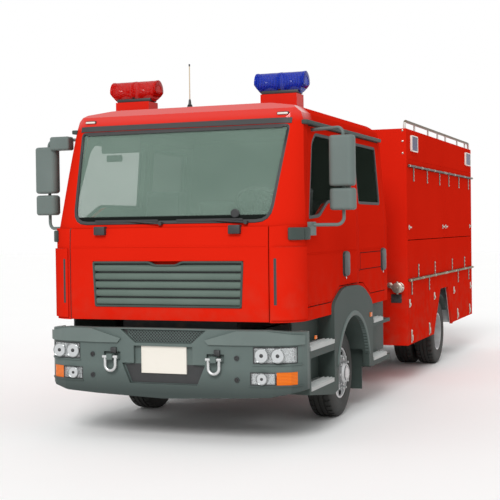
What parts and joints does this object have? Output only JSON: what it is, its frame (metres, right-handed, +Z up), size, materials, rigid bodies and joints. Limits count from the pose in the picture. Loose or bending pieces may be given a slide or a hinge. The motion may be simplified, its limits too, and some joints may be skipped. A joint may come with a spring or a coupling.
{
  "type": "airport fire truck",
  "caption": "Crew-cab fire engine with a locker body: steered front wheels, twin rear wheels, opening cab doors, front service flap, body flaps and rear door.",
  "frame": {"origin": "on the ground, below the middle of the overall length and width", "axes": "-Y is the front, +X is the vehicle's left side, +Z is up"},
  "size_m": [2.96, 8.028, 3.1959],
  "materials": {
    "red_paint": "gloss",
    "black_frame": "satin",
    "grey_casting": "satin",
    "black_plastic": "matte",
    "glass": "gloss",
    "tyre_rubber": "matte",
    "rim_silver": "satin",
    "seat_cloth": "matte",
    "clear_lens": "gloss",
    "amber_lens": "gloss",
    "red_lens": "gloss",
    "blue_lens": "gloss",
    "plate_white": "gloss",
    "bright_steel": "satin"
  },
  "bodies": {
    "chassis": {"body_shell": "red_paint", "bumper": "black_plastic", "cab_shell": "red_paint", "chassis_rails": "black_frame", "cross_members": "black_frame", "dashboard": "black_plastic", "drive_line": "grey_casting", "fenders_and_guards": "black_plastic", "front_axle": "black_frame", "hinge_rails": "black_frame", "ladder": "black_frame", "lamps_amber": "amber_lens", "lamps_blue": "blue_lens", "lamps_clear": "clear_lens", "lamps_red": "red_lens", "number_plate": "plate_white", "rear_axle": "black_frame", "roof_fittings": "red_paint", "roof_rail": "black_frame", "seats": "seat_cloth", "springs": "black_frame", "step_treads": "bright_steel", "tanks": "black_frame", "tow_shackles": "bright_steel", "windscreen": "glass", "wipers": "black_plastic"},
    "knuckle_left": {"knuckle_left": "black_frame"},
    "wheel_front_left": {"tyre_front_left": "tyre_rubber", "rim_front_left": "rim_silver"},
    "wheels_rear_left": {"tyres_rear_left": "tyre_rubber", "rims_rear_left": "rim_silver"},
    "door_front_left": {"door_front_left": "red_paint", "glass_front_left": "glass", "mirror_left": "black_plastic"},
    "door_rear_left": {"door_rear_left": "red_paint", "glass_rear_left": "glass"},
    "upper_flap_front_left": {"upper_flap_front_left": "red_paint"},
    "upper_flap_rear_left": {"upper_flap_rear_left": "red_paint"},
    "lower_flap_left": {"lower_flap_left": "red_paint"},
    "skirt_flap_front_left": {"skirt_flap_front_left": "red_paint"},
    "skirt_flap_rear_left": {"skirt_flap_rear_left": "red_paint"},
    "knuckle_right": {"knuckle_right": "black_frame"},
    "wheel_front_right": {"tyre_front_right": "tyre_rubber", "rim_front_right": "rim_silver"},
    "wheels_rear_right": {"tyres_rear_right": "tyre_rubber", "rims_rear_right": "rim_silver"},
    "door_front_right": {"door_front_right": "red_paint", "glass_front_right": "glass", "mirror_right": "black_plastic"},
    "door_rear_right": {"door_rear_right": "red_paint", "glass_rear_right": "glass"},
    "upper_flap_front_right": {"upper_flap_front_right": "red_paint"},
    "upper_flap_rear_right": {"upper_flap_rear_right": "red_paint"},
    "lower_flap_right": {"lower_flap_right": "red_paint"},
    "skirt_flap_front_right": {"skirt_flap_front_right": "red_paint"},
    "skirt_flap_rear_right": {"skirt_flap_rear_right": "red_paint"},
    "track_rod": {"track_rod": "black_frame"},
    "front_flap": {"front_flap": "red_paint", "grille": "black_plastic"},
    "rear_door": {"rear_door": "red_paint"}
  },
  "joints": [
    {"name": "steer_left", "type": "hinge", "parent": "chassis", "child": "knuckle_left", "pos_m": [0.77, -2.306, 0.3985], "axis": [0, 0, 1], "range_deg": [-35, 35]},
    {"name": "steer_right", "type": "hinge", "parent": "chassis", "child": "knuckle_right", "pos_m": [-0.77, -2.306, 0.3985], "axis": [0, 0, 1], "range_deg": [-35, 35]},
    {"name": "track_rod_swing", "type": "hinge", "parent": "knuckle_left", "child": "track_rod", "pos_m": [0.77, -2.126, 0.2725], "axis": [0, 0, 1], "range_deg": [-35, 35]},
    {"name": "spin_front_left", "type": "hinge", "parent": "knuckle_left", "child": "wheel_front_left", "pos_m": [0.905, -2.306, 0.3985], "axis": [1, 0, 0], "continuous": true},
    {"name": "spin_rear_left", "type": "hinge", "parent": "chassis", "child": "wheels_rear_left", "pos_m": [0.945, 1.894, 0.3985], "axis": [1, 0, 0], "continuous": true},
    {"name": "door_front_left_swing", "type": "hinge", "parent": "chassis", "child": "door_front_left", "pos_m": [1.118, -3.604, 1.5], "axis": [0, 0, -1], "range_deg": [0, 75]},
    {"name": "door_rear_left_swing", "type": "hinge", "parent": "chassis", "child": "door_rear_left", "pos_m": [1.118, -2.031, 1.5], "axis": [0, 0, -1], "range_deg": [0, 75]},
    {"name": "upper_flap_front_left_swing", "type": "hinge", "parent": "chassis", "child": "upper_flap_front_left", "pos_m": [1.156, 0.944, 2.387], "axis": [0, -1, 0], "range_deg": [0, 100]},
    {"name": "upper_flap_rear_left_swing", "type": "hinge", "parent": "chassis", "child": "upper_flap_rear_left", "pos_m": [1.156, 2.944, 2.387], "axis": [0, -1, 0], "range_deg": [0, 100]},
    {"name": "lower_flap_left_swing", "type": "hinge", "parent": "chassis", "child": "lower_flap_left", "pos_m": [1.156, 1.944, 1.133], "axis": [0, 1, 0], "range_deg": [0, 90]},
    {"name": "skirt_flap_front_left_swing", "type": "hinge", "parent": "chassis", "child": "skirt_flap_front_left", "pos_m": [1.156, 0.644, 1.133], "axis": [0, -1, 0], "range_deg": [0, 85]},
    {"name": "skirt_flap_rear_left_swing", "type": "hinge", "parent": "chassis", "child": "skirt_flap_rear_left", "pos_m": [1.156, 3.144, 1.133], "axis": [0, -1, 0], "range_deg": [0, 85]},
    {"name": "spin_front_right", "type": "hinge", "parent": "knuckle_right", "child": "wheel_front_right", "pos_m": [-0.905, -2.306, 0.3985], "axis": [1, 0, 0], "continuous": true},
    {"name": "spin_rear_right", "type": "hinge", "parent": "chassis", "child": "wheels_rear_right", "pos_m": [-0.945, 1.894, 0.3985], "axis": [1, 0, 0], "continuous": true},
    {"name": "door_front_right_swing", "type": "hinge", "parent": "chassis", "child": "door_front_right", "pos_m": [-1.118, -3.604, 1.5], "axis": [0, 0, 1], "range_deg": [0, 75]},
    {"name": "door_rear_right_swing", "type": "hinge", "parent": "chassis", "child": "door_rear_right", "pos_m": [-1.118, -2.031, 1.5], "axis": [0, 0, 1], "range_deg": [0, 75]},
    {"name": "upper_flap_front_right_swing", "type": "hinge", "parent": "chassis", "child": "upper_flap_front_right", "pos_m": [-1.156, 0.944, 2.387], "axis": [0, 1, 0], "range_deg": [0, 100]},
    {"name": "upper_flap_rear_right_swing", "type": "hinge", "parent": "chassis", "child": "upper_flap_rear_right", "pos_m": [-1.156, 2.944, 2.387], "axis": [0, 1, 0], "range_deg": [0, 100]},
    {"name": "lower_flap_right_swing", "type": "hinge", "parent": "chassis", "child": "lower_flap_right", "pos_m": [-1.156, 1.944, 1.133], "axis": [0, -1, 0], "range_deg": [0, 90]},
    {"name": "skirt_flap_front_right_swing", "type": "hinge", "parent": "chassis", "child": "skirt_flap_front_right", "pos_m": [-1.156, 0.644, 1.133], "axis": [0, 1, 0], "range_deg": [0, 85]},
    {"name": "skirt_flap_rear_right_swing", "type": "hinge", "parent": "chassis", "child": "skirt_flap_rear_right", "pos_m": [-1.156, 3.144, 1.133], "axis": [0, 1, 0], "range_deg": [0, 85]},
    {"name": "front_flap_swing", "type": "hinge", "parent": "chassis", "child": "front_flap", "pos_m": [0, -3.861, 1.735], "axis": [-1, 0, 0], "range_deg": [0, 70]},
    {"name": "rear_door_swing", "type": "hinge", "parent": "chassis", "child": "rear_door", "pos_m": [0, 3.92, 2.49], "axis": [1, 0, 0], "range_deg": [0, 100]}
  ],
  "couplings": [
    {"joint": "steer_right", "follows": "steer_left", "ratio": 1},
    {"joint": "track_rod_swing", "follows": "steer_left", "ratio": -1}
  ]
}
